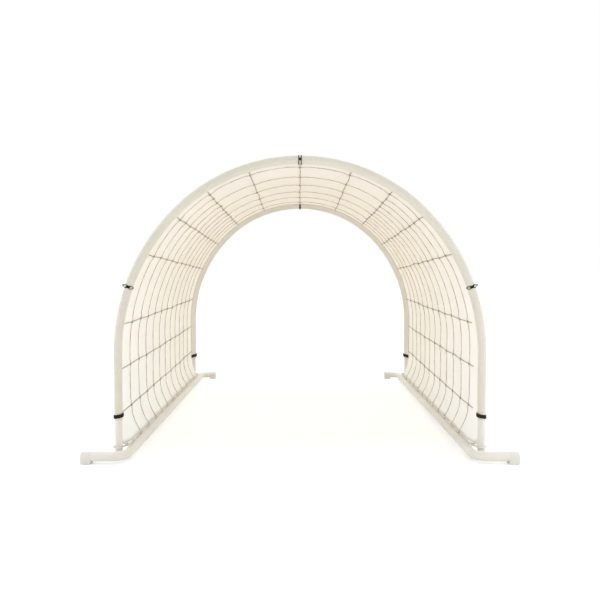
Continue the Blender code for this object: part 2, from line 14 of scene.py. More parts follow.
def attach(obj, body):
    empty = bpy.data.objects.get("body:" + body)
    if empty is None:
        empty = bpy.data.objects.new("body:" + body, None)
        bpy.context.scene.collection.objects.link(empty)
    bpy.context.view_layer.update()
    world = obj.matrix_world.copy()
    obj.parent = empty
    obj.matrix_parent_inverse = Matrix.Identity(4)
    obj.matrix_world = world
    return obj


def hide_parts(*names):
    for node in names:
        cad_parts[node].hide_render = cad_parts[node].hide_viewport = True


# Sizes that repeat the part's own
HALF_LENGTH = 0.500
ARCH_HALF_WIDTH = 0.390
SPRING_HEIGHT = 0.222
SHOULDER_RADIUS = 0.431
SHOULDER_ANGLE = radians(46.3)
ARCH_TUBE_RADIUS = 0.0080
RAIL_RADIUS = 0.0100
TUBE_WALL = 0.0015
RAIL_HEIGHT = 0.0145
RAIL_X = 0.3665
FRONT_BEND_RADIUS = 0.030
REAR_BEND_RADIUS = 0.026
FOOT_Y = 0.540
FRONT_FOOT_REACH = 0.0915
REAR_FOOT_REACH = 0.052
CAP_LENGTH = 0.022
CAP_RADIUS = 0.0113
CAP_END_WALL = 0.0035
SEAT_TOP = 0.0125
SEAT_THICKNESS = 0.003
SEAT_HALF_WIDTH = 0.0095
SEAT_PAST_LEG = 0.002
SPIGOT_HEIGHT = 0.060
SPIGOT_RADIUS = 0.0060
LEG_FOOT_HEIGHT = 0.0128
SLEEVE_RADIUS = 0.0088
COVER_OFFSET = 0.0062
SKIRT_TOP_ARC = 0.750
FRONT_CORD_ARCS = (0.0, 0.114, 0.215, 0.301, 0.404, 0.571, 0.669, 0.765)
REAR_CORD_ARCS = (0.0, 0.128, 0.237, 0.337, 0.441, 0.553, 0.652, 0.743)
# Every second hoop is open at the top: it starts this many cords from the crown
SHORT_HOOP_CORD = 2
HOOP_COUNT = 11
HOOP_SPACING = 0.0765
SIDE_TIE_ARC = 0.482
LOW_TIE_ARC = 0.762
ROPE_RADIUS = 0.0020
ROPE_X = 0.37265
ROPE_HEIGHT = 0.02515
ROPE_GAP = 0.0003
ROPE_TURN = radians(310)

# Details of the metal pieces
ROUND_SIDES = 28
SHARP_ANGLE = radians(50)
CAP_SIDES = 40
CAP_THINNER = 0.0009
CAP_BORE_RADIUS = 0.0101
CAP_BORE_DEPTH = 0.004
CAP_CORNER = 0.0022
CAP_SHARP_ANGLE = radians(55)
SEAT_INNER_REACH = 0.0066
SEAT_BEVEL = 0.0006
WELD_REACH = 0.0088
WELD_RADIUS = 0.0012
WELD_INSET = 0.001
WELD_HEIGHT = 0.0006
WELD_RIPPLE = 0.0001

# Cloth. A noise is (scale along the arc, scale along the tunnel, seed)
CLOTH_THICKNESS = 0.0009
FLAP_THICKNESS = 0.0006
COVER_HALF_LENGTH = 0.4905
COVER_ARC_STEPS = 168
COVER_LENGTH_STEPS = 100
SEAM_SETBACK = 0.027
SLEEVE_END_ARC = 0.769
FLAP_OFFSET = 0.0011
FLAP_SAG = 0.0009
COVER_SAG = 0.0025
SEAM_REACH = 0.012
RIPPLE_HEIGHT = 0.0009
RIPPLE_NOISE = (9.0, 4.0, 1.7)
PUCKER_HEIGHT = 0.0007
PUCKER_REACH = 0.022
PUCKER_NOISE = (62.0, 6.0, 5.3)
SLEEVE_PUCKER_HEIGHT = 0.0005
SLEEVE_NOISE = (45.0, 3.0, 0.4)
HEM_WAVE_HEIGHT = 0.0014
HEM_WAVE_REACH = 0.020
HEM_HEIGHT = 0.0045
HEM_OFFSET = 0.0009
HEM_TO_ROPE = 0.0008
HEM_MESH = 0.006
SKIRT_HEM_GAP = 0.001
CORNER_PULL = 0.0080
CORNER_PULL_POWER = 1.3
CORNER_PULL_REACH = 0.045
CORNER_PULL_END = 0.009
STITCH_PITCH = 0.0052
STITCH_LENGTH = 0.0034
STITCH_RADIUS = 0.00028
STITCH_SHAPE = ((0.0, -0.00035), (0.2, 0.0001), (0.5, 0.0002), (0.8, 0.0001), (1.0, -0.00035))
SEAM_STITCH_SETBACK = 0.0022
HEM_STITCH_RISE = 0.0014

# Cords
LONG_CORD_RADIUS = 0.0011
HOOP_CORD_RADIUS = 0.0009
CORD_DEPTH = 0.0022
CORD_STEP = 0.0125
HOOP_CORD_DEPTH = 0.0017
CORD_WANDER = 0.0024
CORD_WANDER_SCALE = 7
CORD_ZIGZAG = 0.0006
HOOP_WANDER = 0.0035
HOOP_WANDER_SCALE = 9
CROSSING_RISE = 0.0021
CROSSING_REACH = 0.012
CROSSING_TOP = 0.002
NET_KNOT_SIZE = 0.00095
NET_KNOT_CORD = 0.00085
NET_KNOT_RISE = 0.0007
UPPER_CORD_COUNT = 4
UPPER_CORD_SETBACK = 0.070
RIGHT_CORD_SETBACK = 0.088
CORD_SETBACK = 0.0115
HITCH_STEPS = 26
HITCH_LENGTH = 0.0044
HITCH_START = -0.2
ROPE_STRAND_RADIUS = 0.00108
ROPE_STRAND_OFFSET = 0.00096
ROPE_PITCH = 0.012
STRAND_COUNT = 3
STRAND_STEPS = 9
ROPE_SWELL = 0.0004
ROPE_STRAIGHT_END = 0.40
ROPE_KNOT_SETBACK = 0.0150
ROPE_KNOT_SIZE = 0.00135
ROPE_KNOT_CORD = 0.0017
ROPE_KNOT_HEIGHT = ROPE_HEIGHT + 0.0004
ROPE_TAIL_CORD = 0.0016
ROPE_TAIL = ((0.0, 0.0, 0.0), (0.004, 0.004, 0.003), (0.007, 0.010, 0.0035))
TIE_CORD_RADIUS = 0.00085
TIE_CORD_REACH = 0.012
FRONT_STRAP_WIDTH = 0.0082
REAR_STRAP_WIDTH = 0.0112
STRAP_THICKNESS = 0.0013
STRAP_GAP = 0.0003
STRAP_LAP_POINTS = 8
STRAP_END_POINTS = 5
STRAP_END_LIFT = 0.0016
STRAP_TILT = 0.16
STRAP_SETBACK = 0.0255
TIE_SETBACK = 0.0130
# A top tie's strands: how far apart, their radius, and their setback
FRONT_TOP_STRANDS = (0.0052, 0.00095, 0.0130)
REAR_TOP_STRANDS = (0.0030, 0.00125, 0.0255)
TOP_KNOT_RISE = 0.0004
TOP_KNOT_SIZE = 0.00065
TOP_BAR_SHIFT = (0.0002, 0.0004)
TOP_BAR_SWELL = 1.2
BOW_CORD_RADIUS = 0.00065
BOW_GAP = 0.0002
BOW_START = 0.0007
BOW_SPREAD = 0.0026
BOW_SLACK = 0.0045
BOW_WRAP_LENGTH = 0.0086
BOW_WRAP_RADIUS = 0.0021
BOW_WRAP_DEPTH = 0.0009
BOW_WRAP_TURNS = 5

# View of the photograph: a 600 pixel square frame
CAMERA_PLACE = (0.0, -1.8956, 0.4037)
CAMERA_DOWN = 0.0451
LENS = 39.33
SENSOR = 36.0

# Light: the white world's strengths, and the lamps
FRONT_WORLD = 0.55
BACK_WORLD = 0.93
SQUARE_WORLD = 1.25
SQUARE_WIDTH = 0.35
FLOOR_GLOW = 0.33
# Each lamp's name, place, target, width and watts
LAMPS = (
    ("overhead_light", (-0.5, 0.3, 2.6), (0.0, 0.0, 0.25), 1.8, 3.0),
    ("back_light", (0.8, 2.8, 1.8), (0.0, 0.0, 0.35), 1.8, 2.0),
    ("left_light", (-2.3, -0.4, 0.20), (-0.4, -0.2, 0.08), 1.2, 6.0),
    ("right_light", (2.3, 0.2, 0.25), (0.4, 0.1, 0.05), 1.2, 5.0),
    ("right_fill_light", (0.95, -1.25, 0.30), (0.39, -0.5, 0.20), 0.4, 1.7),
    ("left_fill_light", (-0.95, -1.25, 0.22), (-0.39, -0.5, 0.10), 0.4, 0.9),
)

# Colours
WHITE = (1.0, 1.0, 1.0, 1.0)
FLOOR_COLOUR = (0.92, 0.92, 0.92, 1.0)
PAINT_COLOUR = (0.86, 0.83, 0.76)
CAP_COLOUR = (0.81, 0.785, 0.73)
COVER_COLOUR = (0.97, 0.94, 0.895)
COVER_GLOW = (0.98, 0.95, 0.905)
# Painted light: the cover turns to this paler, whiter colour from the arch's shoulders down, over these
# arcs
LOW_COVER_PAINTED_LIGHT_COLOUR = (0.985, 0.98, 0.96)
PAINTED_LIGHT_ARCS = (0.40, 0.78)
# Painted shade: towards the rear the cover is multiplied by this, warmer and a little darker, over these
# lengths
REAR_PAINTED_SHADE = (0.985, 0.972, 0.935)
REAR_PAINTED_SHADE_LENGTHS = (-0.45, 0.50)
HEM_COLOUR = (0.97, 0.965, 0.945)
SLEEVE_COLOUR = (0.94, 0.90, 0.79)
SLEEVE_GLOW = (0.94, 0.91, 0.82)
THREAD_COLOUR = (0.86, 0.82, 0.74)
LONG_CORD_COLOUR = (0.48, 0.41, 0.31)
NET_KNOT_COLOUR = (0.24, 0.19, 0.13)
HOOP_CORD_COLOUR = (0.67, 0.59, 0.47)
HITCH_COLOUR = (0.74, 0.68, 0.58)
ROPE_COLOUR = (0.88, 0.855, 0.80)
ROPE_KNOT_COLOUR = (0.58, 0.51, 0.38)
TIE_COLOUR = (0.012, 0.012, 0.011)
WEBBING_COLOUR = (0.014, 0.014, 0.013)
BLACK = (0.0, 0.0, 0.0)

# Surfaces
MOTTLE_SCALE = 38.0
PEEL_SCALE = 750.0
SLUB_SCALE = 160.0
CLOUD_SCALE = 5.0
FUZZ_SCALE = 420.0
FLECK_SCALE = 70.0
NOISE_LOW = 0.35
NOISE_HIGH = 0.65
CLOTH_THREAD = 0.0011
WEBBING_THREAD = 0.0008
CORD_LAY = 0.004
THREAD_LAY = 0.002

CROWN_ANGLE = pi / 2 - SHOULDER_ANGLE
CROWN_RADIUS = (ARCH_HALF_WIDTH - SHOULDER_RADIUS * (1 - cos(SHOULDER_ANGLE))) / cos(SHOULDER_ANGLE)
CROWN_CENTRE_HEIGHT = (
    SPRING_HEIGHT + SHOULDER_RADIUS * sin(SHOULDER_ANGLE) - CROWN_RADIUS * sin(SHOULDER_ANGLE)
)
CROWN_ARC = CROWN_RADIUS * CROWN_ANGLE
SPRING_ARC = CROWN_ARC + SHOULDER_RADIUS * SHOULDER_ANGLE
LEG_FOOT_ARC = SPRING_ARC + SPRING_HEIGHT - LEG_FOOT_HEIGHT
SKIRT_TOP_HEIGHT = SPRING_HEIGHT - (SKIRT_TOP_ARC - SPRING_ARC)
SKIRT_DROP = SKIRT_TOP_HEIGHT - ROPE_HEIGHT - ROPE_RADIUS - HEM_TO_ROPE
SKIRT_INSET = ARCH_HALF_WIDTH + COVER_OFFSET - ROPE_X
SKIRT_RADIUS = (SKIRT_INSET**2 + SKIRT_DROP**2) / (2 * SKIRT_INSET)
HEM_ARC = SKIRT_TOP_ARC + SKIRT_RADIUS * asin(SKIRT_DROP / SKIRT_RADIUS)
SEAM_Y = HALF_LENGTH - SEAM_SETBACK
SIDES = (("left", -1), ("right", 1))
ENDS = (("front", -1), ("rear", 1))


def section(arc, offset=0.0):
    """Place and outward direction, each (x, z), at a length round the arch from its crown."""
    side = -1 if arc < 0 else 1
    length = abs(arc)
    if length <= CROWN_ARC:
        turn = length / CROWN_RADIUS
        centre = (0.0, CROWN_CENTRE_HEIGHT)
        radius = CROWN_RADIUS
    elif length <= SPRING_ARC:
        turn = CROWN_ANGLE + (length - CROWN_ARC) / SHOULDER_RADIUS
        centre = (ARCH_HALF_WIDTH - SHOULDER_RADIUS, SPRING_HEIGHT)
        radius = SHOULDER_RADIUS
    else:
        turn = pi / 2
        centre = (ARCH_HALF_WIDTH, SPRING_HEIGHT - (length - SPRING_ARC))
        radius = 0.0
    reach = radius + offset
    place = (side * (centre[0] + reach * sin(turn)), centre[1] + reach * cos(turn))
    return place, (side * sin(turn), cos(turn))


def cloth_section(arc, offset=0.0):
    """Place and outward direction on the cover's middle surface, whose skirt bends in to its rope."""
    length = abs(arc)
    if length <= SKIRT_TOP_ARC:
        return section(arc, COVER_OFFSET + offset)
    side = -1 if arc < 0 else 1
    turn = (length - SKIRT_TOP_ARC) / SKIRT_RADIUS
    centre_x = ARCH_HALF_WIDTH + COVER_OFFSET - SKIRT_RADIUS
    radius = SKIRT_RADIUS + offset
    place = (side * (centre_x + radius * cos(turn)), SKIRT_TOP_HEIGHT - radius * sin(turn))
    return place, (side * cos(turn), -sin(turn))


def ease(low, high, value):
    """0 below low, 1 above high, and a smooth rise between."""
    share = min(max((value - low) / (high - low), 0.0), 1.0)
    return share * share * (3 - 2 * share)


def noise_at(*place):
    return noise.noise(Vector(place))


def cloth_noise(arc, y, shape):
    along_arc, along_tunnel, seed = shape
    return noise_at(arc * along_arc, y * along_tunnel, seed)


def relief(arc, y):
    """How far the tensioned cloth stands off the line between the arches."""
    inside = max(0.0, 1 - (y / SEAM_Y) ** 2)
    from_seam = SEAM_Y - abs(y)
    free = ease(0.0, SEAM_REACH, from_seam)
    ripple = cloth_noise(arc, y, RIPPLE_NOISE)
    pucker = cloth_noise(arc, y, PUCKER_NOISE) * max(0.0, 1 - from_seam / PUCKER_REACH)
    below = ease(SKIRT_TOP_ARC - HEM_WAVE_REACH, HEM_ARC, abs(arc))
    wave = below * (0.5 - 0.5 * cos(2 * pi * y / HOOP_SPACING))
    small = free * (RIPPLE_HEIGHT * ripple + PUCKER_HEIGHT * pucker)
    return small - COVER_SAG * inside + HEM_WAVE_HEIGHT * wave


def corner_pull(arc, y):
    """How far the rope draws the skirt's corners outwards, to the legs."""
    down = max(0.0, abs(arc) - SKIRT_TOP_ARC) / (HEM_ARC - SKIRT_TOP_ARC)
    side = -1 if arc < 0 else 1
    near_leg = ease(HALF_LENGTH - CORNER_PULL_REACH, HALF_LENGTH - CORNER_PULL_END, abs(y))
    return side * CORNER_PULL * min(1.0, down) ** CORNER_PULL_POWER * near_leg


def cloth_point(arc, y, offset=0.0):
    """A point of the cover, or off it by an offset that is positive outwards."""
    (x, z), _ = cloth_section(arc, relief(arc, y) + offset)
    return Vector((x + corner_pull(arc, y), y, z))


def steps(low, high, count):
    return [low + (high - low) * step / count for step in range(count + 1)]


def add(name, data):
    obj = bpy.data.objects.new(name, data)
    bpy.context.scene.collection.objects.link(obj)
    return obj


def grid_mesh(name, rows, wrap=False, places=None):
    """A sheet through rows of points, or a tube where wrap joins each row's end to its start.

    places gives each point's place on the flat cloth, which becomes its UV in metres.
    """
    width = len(rows[0])
    faces = []
    for row in range(len(rows) - 1):
        for column in range(width if wrap else width - 1):
            here = row * width + column
            beside = row * width + (column + 1) % width
            faces.append((here, beside, beside + width, here + width))
    mesh = bpy.data.meshes.new(name)
    mesh.from_pydata([point for row in rows for point in row], [], faces)
    if places:
        flat = [place for row in places for place in row]
        layer = mesh.uv_layers.new(name="cloth")
        for loop in mesh.loops:
            layer.data[loop.index].uv = flat[loop.vertex_index]
    mesh.shade_smooth()
    return add(name, mesh)


def thicken(obj, thickness):
    modifier = obj.modifiers.new("thickness", "SOLIDIFY")
    modifier.thickness = thickness
    modifier.offset = 0.0
    return obj


def cord_curve(name, splines, resolution=2):
    """Round cords in one object. Each spline is (points, radius, closed, material index)."""
    curve = bpy.data.curves.new(name, "CURVE")
    curve.dimensions = "3D"
    curve.bevel_depth = 1.0
    curve.bevel_resolution = resolution
    curve.use_fill_caps = True
    for points, radius, closed, index in splines:
        spline = curve.splines.new("POLY")
        spline.points.add(len(points) - 1)
        for knot, point in zip(spline.points, points):
            knot.co = (*point, 1.0)
            knot.radius = radius
        spline.use_cyclic_u = closed
        spline.use_smooth = True
        spline.material_index = index
    return add(name, curve)


def smooth_route(points, per_step):
    """A Catmull-Rom curve through the points."""
    ends = [points[0] * 2 - points[1], *points, points[-1] * 2 - points[-2]]
    made = []
    for before, here, there, after in zip(ends, ends[1:], ends[2:], ends[3:]):
        slope = there - before
        square = 2 * before - 5 * here + 4 * there - after
        cube = 3 * here - before - 3 * there + after
        for share in steps(0.0, 1.0, per_step)[:-1]:
            made.append(here + 0.5 * (slope * share + square * share**2 + cube * share**3))
    made.append(points[-1].copy())
    return made


def finish_piece(obj, body, slot, material, *nodes):
    """Give a piece its material or materials and its body, and hide the part's nodes it replaces. The slot
    is not used.
    """
    materials = material if isinstance(material, tuple) else (material,)
    for each in materials:
        obj.data.materials.append(each)
    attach(obj, body)
    if nodes:
        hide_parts(*nodes)
    return obj


# Materials


def set_sockets(node, sockets):
    """Link each named or numbered socket of a node from another one, or give it its value."""
    for key, value in dict(sockets).items():
        if isinstance(value, bpy.types.NodeSocket):
            node.id_data.links.new(value, node.inputs[key])
        else:
            node.inputs[key].default_value = value


def new_node(tree, kind, sockets=(), **settings):
    node = tree.nodes.new(f"ShaderNode{kind}")
    for name, value in settings.items():
        setattr(node, name, value)
    set_sockets(node, sockets)
    return node


def noise_node(tree, vector, scale, detail=3.0):
    return new_node(tree, "TexNoise", {"Vector": vector, "Scale": scale, "Detail": detail}).outputs["Fac"]


def math_node(tree, operation, *values):
    return new_node(tree, "Math", enumerate(values), operation=operation).outputs[0]


def multiply_node(tree, *values):
    return new_node(tree, "VectorMath", enumerate(values), operation="MULTIPLY").outputs[0]


def range_node(tree, value, low, high, low_value, high_value):
    """A plain value between two others, as another runs from low to high."""
    sockets = {"Value": value, "From Min": low, "From Max": high, "To Min": low_value, "To Max": high_value}
    return new_node(tree, "MapRange", sockets).outputs["Result"]


def ramp_node(tree, value, low, high, low_painted_light_colour, high_colour):
    """A colour between two others, as a value runs from low to high."""
    # The vector sockets follow six plain ones, which have the same names
    sockets = {6: value, 7: (low,) * 3, 8: (high,) * 3, 9: low_painted_light_colour, 10: high_colour}
    return new_node(tree, "MapRange", sockets, data_type="FLOAT_VECTOR").outputs["Vector"]


def mottled(tree, value, colour, darkest, lightest):
    """A colour that a noise makes darker and lighter, by these factors at most."""
    dark = [channel * darkest for channel in colour]
    light = [channel * lightest for channel in colour]
    return ramp_node(tree, value, NOISE_LOW, NOISE_HIGH, dark, light)


def bump_node(tree, height, strength, distance, normal=None):
    sockets = {"Strength": strength, "Distance": distance, "Height": height}
    if normal:
        sockets["Normal"] = normal
    return new_node(tree, "Bump", sockets).outputs["Normal"]


def new_material(name, colour, roughness, sheen=0.0, specular=0.5):
    material = bpy.data.materials.new(name)
    material.use_nodes = True
    shader = material.node_tree.nodes["Principled BSDF"]
    set_sockets(shader, {"Base Color": (*colour, 1.0), "Roughness": roughness})
    set_sockets(shader, {"Sheen Weight": sheen, "Specular IOR Level": specular})
    material.diffuse_color = (*colour, 1.0)
    return material, material.node_tree, shader


def paint_material(name, colour, roughness):
    """Powder coat or moulded plastic: faint mottling and a fine orange peel."""
    material, tree, shader = new_material(name, colour, roughness)
    place = new_node(tree, "TexCoord").outputs["Object"]
    mottle = noise_node(tree, place, MOTTLE_SCALE)
    tint = mottled(tree, mottle, colour, 0.975, 1.015)
    gloss = range_node(tree, mottle, 0.0, 1.0, roughness - 0.05, roughness + 0.07)
    peel = bump_node(tree, noise_node(tree, place, PEEL_SCALE, 2.0), 0.12, 0.0002)
    set_sockets(shader, {"Base Color": tint, "Roughness": gloss, "Normal": peel})
    return material


def weave_node(tree, flat, thread):
    """The height of a plain weave over the cloth's UV."""
    waves = []
    for axis in ("X", "Y"):
        turns = math_node(tree, "MULTIPLY", flat[axis], pi / thread)
        waves.append(math_node(tree, "SINE", turns))
    return math_node(tree, "MULTIPLY", *waves)


def cloth_material(name, colour, through, thread=CLOTH_THREAD, see_through=0.65, low_painted_light_colour=None):
    """Plain-woven cloth that lets some light through. Its weave follows the cloth's UV, in metres.

    With a low colour, it turns to that from the arch's shoulders down, a painted light on the skirts,
    and is warmer and a little darker towards the rear, a painted shade.
    """
    material, tree, shader = new_material(name, colour, 0.88, sheen=0.15, specular=0.2)
    place = new_node(tree, "TexCoord").outputs
    flat = new_node(tree, "SeparateXYZ", {0: place["UV"]}).outputs
    slub = noise_node(tree, place["Object"], SLUB_SCALE, 4.0)
    cloud = noise_node(tree, place["Object"], CLOUD_SCALE)
    tint = mottled(tree, cloud, colour, 0.98, 1.02)
    speck = ramp_node(tree, slub, 0.3, 0.7, (0.965,) * 3, (1.02,) * 3)
    wear_and_painted_light = multiply_node(tree, tint, speck)
    glow = new_node(tree, "BsdfTranslucent", {"Color": (*through, 1.0)})
    if low_painted_light_colour:
        # Painted light: from the shoulders down the cloth turns paler and whiter, in what it reflects and
        # what it lets through
        down = math_node(tree, "ABSOLUTE", flat["X"])
        painted_light_share = [low / high for low, high in zip(low_painted_light_colour, colour)]
        painted_light_fade = ramp_node(tree, down, *PAINTED_LIGHT_ARCS, (1.0,) * 3, painted_light_share)
        # Painted shade: the cloth turns warmer and a little darker towards the rear
        back = ramp_node(tree, flat["Y"], *REAR_PAINTED_SHADE_LENGTHS, (1.0,) * 3, REAR_PAINTED_SHADE)
        wear_and_painted_light = multiply_node(tree, multiply_node(tree, wear_and_painted_light, painted_light_fade), back)
        glow_with_painted_light = ramp_node(tree, down, *PAINTED_LIGHT_ARCS, through, low_painted_light_colour)
        set_sockets(glow, {"Color": multiply_node(tree, glow_with_painted_light, back)})
    normal = bump_node(tree, weave_node(tree, flat, thread), 0.25, 0.00012)
    normal = bump_node(tree, slub, 0.20, 0.0004, normal)
    set_sockets(shader, {"Base Color": wear_and_painted_light, "Normal": normal})
    mix = new_node(tree, "MixShader", {0: see_through, 1: shader.outputs[0], 2: glow.outputs[0]})
    set_sockets(tree.nodes["Material Output"], {"Surface": mix.outputs[0]})
    return material


def cord_material(name, colour, pitch=CORD_LAY, bump=0.6):
    """Laid cord: flecked, with a fine skewed wave for its strands."""
    material, tree, shader = new_material(name, colour, 0.9, sheen=0.1, specular=0.2)
    place = new_node(tree, "TexCoord").outputs["Object"]
    fuzz = noise_node(tree, place, FUZZ_SCALE, 4.0)
    tint = mottled(tree, noise_node(tree, place, FLECK_SCALE), colour, 0.80, 1.15)
    wave = {"Vector": place, "Scale": 1.0 / pitch, "Distortion": 0.6}
    lay = new_node(tree, "TexWave", wave, wave_type="BANDS", bands_direction="DIAGONAL")
    height = math_node(tree, "ADD", lay.outputs["Fac"], fuzz)
    set_sockets(shader, {"Base Color": tint, "Normal": bump_node(tree, height, bump, 0.0003)})
    return material


# Metal pieces


def polar(radius, turn):
    return radius * cos(turn), radius * sin(turn)


def circle(radius, sides):
    """Points round a circle, each (across, up)."""
    return [polar(radius, 2 * pi * step / sides) for step in range(sides)]


def frames_along(points):
    """A pair of directions square to the route at each point, carried along it without twist."""
    tangents = []
    for before, after in zip([points[0], *points], [*points[1:], points[-1]]):
        tangents.append((after - before).normalized())
    side = tangents[0].orthogonal().normalized()
    made = []
    for tangent in tangents:
        side = (side - tangent * side.dot(tangent)).normalized()
        made.append((side, tangent.cross(side)))
    return made


def tube(name, points, radius):
    """A round hollow tube along a route, with a rim at each end."""
    outer = []
    inner = []
    for point, (side, up) in zip(points, frames_along(points)):
        away = [side * across + up * height for across, height in circle(radius, ROUND_SIDES)]
        outer.append([point + step for step in away])
        inner.append([point + step * (1 - TUBE_WALL / radius) for step in away])
    obj = grid_mesh(name, [inner[0], *outer, *inner[::-1]], wrap=True)
    obj.data.set_sharp_from_angle(angle=SHARP_ANGLE)
    return obj


def arch_route(end):
    made = []
    for arc in steps(-LEG_FOOT_ARC, LEG_FOOT_ARC, 150):
        (x, z), _ = section(arc)
        made.append(Vector((x, end * HALF_LENGTH, z)))
    return made


def bend(centre, radius, start, end):
    x, y = centre
    return [(x + radius * cos(angle), y + radius * sin(angle)) for angle in steps(start, end, 14)]


def rail_route(side):
    front_centre = (RAIL_X + FRONT_BEND_RADIUS, FRONT_BEND_RADIUS - FOOT_Y)
    rear_centre = (RAIL_X - REAR_BEND_RADIUS, FOOT_Y - REAR_BEND_RADIUS)
    level = [(RAIL_X + FRONT_FOOT_REACH - CAP_END_WALL, -FOOT_Y)]
    level += bend(front_centre, FRONT_BEND_RADIUS, 3 * pi / 2, pi)
    level += bend(rear_centre, REAR_BEND_RADIUS, 0.0, pi / 2)
    level.append((RAIL_X - REAR_FOOT_REACH + CAP_END_WALL, FOOT_Y))
    return [Vector((side * x, y, RAIL_HEIGHT)) for x, y in level]


def make_arches(paint):
    for end_name, end in ENDS:
        obj = tube(f"{end_name}_arch_tube", arch_route(end), ARCH_TUBE_RADIUS)
        finish_piece(obj, "canopy", "cream_paint", paint, f"{end_name}_arch")


def make_rails(paint):
    for side_name, side in SIDES:
        obj = tube(f"{side_name}_rail_tube", rail_route(side), RAIL_RADIUS)
        finish_piece(obj, "rails", "cream_paint", paint, f"{side_name}_rail")


def cap_ring(scale, inset):
    """One ring of a foot cap, in the plane across the rail: a round top over a flat foot."""
    ring = []
    radius = (CAP_RADIUS - CAP_THINNER) * scale
    floor = inset - RAIL_HEIGHT
    middle = Vector((radius - CAP_CORNER, floor + CAP_CORNER))
    for across, up in circle(1.0, CAP_SIDES):
        reach = radius
        if up < 0:
            reach = min(radius / max(abs(across), 1e-6), floor / up)
        point = Vector((abs(across), up)) * reach
        if point.x > middle.x and point.y < middle.y:
            point = middle + (point - middle).normalized() * CAP_CORNER
        ring.append((point.x if across > 0 else -point.x, point.y))
    return ring


def make_cap(name, end_x, y, out, plastic):
    """A foot cap: the mouth's bore, its rim, the body, and a rounded closed end."""
    bore = circle(CAP_BORE_RADIUS, CAP_SIDES)
    # Each station is (how far from the closed end, ring)
    stations = [
        (CAP_LENGTH - CAP_BORE_DEPTH, bore),
        (CAP_LENGTH, bore),
        (CAP_LENGTH + 0.0002, cap_ring(0.985, 0.0003)),
        (CAP_LENGTH - 0.0006, cap_ring(1.0, 0.0)),
        (0.0022, cap_ring(1.0, 0.0)),
        (0.0009, cap_ring(0.975, 0.0003)),
        (0.0002, cap_ring(0.925, 0.0010)),
        (0.0, cap_ring(0.86, 0.0019)),
        (0.0, [(0.0, -0.001)] * CAP_SIDES),
    ]
    rows = []
    for back, ring in stations:
        x = end_x - out * back
        rows.append([Vector((x, y + out * across, RAIL_HEIGHT + up)) for across, up in ring])
    obj = grid_mesh(f"{name}_moulding", rows, wrap=True)
    weld(obj)
    obj.data.set_sharp_from_angle(angle=CAP_SHARP_ANGLE)
    finish_piece(obj, "rails", "cap_plastic", plastic, name)


def weld(obj):
    """Join doubled points and face the surface outwards."""
    shape = bmesh.new()
    shape.from_mesh(obj.data)
    bmesh.ops.remove_doubles(shape, verts=shape.verts, dist=0.000005)
    bmesh.ops.recalc_face_normals(shape, faces=shape.faces)
    shape.to_mesh(obj.data)
    shape.free()
    obj.data.shade_smooth()


def make_caps(plastic):
    for side_name, side in SIDES:
        front_x = side * (RAIL_X + FRONT_FOOT_REACH)
        make_cap(f"front_{side_name}_foot_cap", front_x, -FOOT_Y, side, plastic)
        rear_x = side * (RAIL_X - REAR_FOOT_REACH)
        make_cap(f"rear_{side_name}_foot_cap", rear_x, FOOT_Y, -side, plastic)


def seat_outline(side):
    """The seat plate from above: square at the rail and round about the leg."""
    inner = RAIL_X + SEAT_INNER_REACH
    outer_radius = ARCH_TUBE_RADIUS + SEAT_PAST_LEG
    outline = [(inner, -SEAT_HALF_WIDTH)]
    for angle in steps(-pi / 2, pi / 2, 18):
        outline.append((ARCH_HALF_WIDTH + outer_radius * cos(angle), SEAT_HALF_WIDTH * sin(angle)))
    outline.append((inner, SEAT_HALF_WIDTH))
    return [(side * x, y) for x, y in outline]


def make_plate(name, leg_y, side):
    shape = bmesh.new()
    low = [shape.verts.new((x, leg_y + y, SEAT_TOP - SEAT_THICKNESS)) for x, y in seat_outline(side)]
    face = shape.faces.new(low)
    grown = bmesh.ops.extrude_face_region(shape, geom=[face])
    raised = [item for item in grown["geom"] if isinstance(item, bmesh.types.BMVert)]
    bmesh.ops.translate(shape, verts=raised, vec=(0, 0, SEAT_THICKNESS))
    bmesh.ops.recalc_face_normals(shape, faces=shape.faces)
    mesh = bpy.data.meshes.new(f"{name}_plate")
    shape.to_mesh(mesh)
    shape.free()
    mesh.shade_smooth()
    mesh.set_sharp_from_angle(angle=SHARP_ANGLE)
    plate = add(f"{name}_plate", mesh)
    edge = plate.modifiers.new("edge", "BEVEL")
    edge.width = SEAT_BEVEL
    edge.segments = 2
    edge.limit_method = "ANGLE"
    edge.angle_limit = SHARP_ANGLE
    return plate


def make_spigot(name, foot):
    """An upright pin with a fillet at its foot and a rounded top."""
    # Each height above the foot has its radius
    profile = (
        (0.0, 0.0074),
        (0.0006, 0.0068),
        (0.0016, 0.0061),
        (0.0030, SPIGOT_RADIUS),
        (SPIGOT_HEIGHT - 0.003, SPIGOT_RADIUS),
        (SPIGOT_HEIGHT - 0.0005, 0.0046),
        (SPIGOT_HEIGHT, 0.0036),
        (SPIGOT_HEIGHT, 0.0),
    )
    rows = []
    for height, radius in profile:
        rows.append([foot + Vector((x, y, height)) for x, y in circle(radius, ROUND_SIDES)])
    spigot = grid_mesh(f"{name}_spigot", rows, wrap=True)
    weld(spigot)
    spigot.data.set_sharp_from_angle(angle=SHARP_ANGLE)
    return spigot


def make_weld_bead(name, leg_y, side):
    """The weld between a seat plate and its rail, slightly rippled."""
    reach = SEAT_HALF_WIDTH - WELD_INSET
    bead = []
    for step, y in enumerate(steps(-reach, reach, 16)):
        height = SEAT_TOP + WELD_HEIGHT + WELD_RIPPLE * (step % 2)
        bead.append(Vector((side * (RAIL_X + WELD_REACH), leg_y + y, height)))
    return cord_curve(f"{name}_weld", [(bead, WELD_RADIUS, False, 0)], 3)


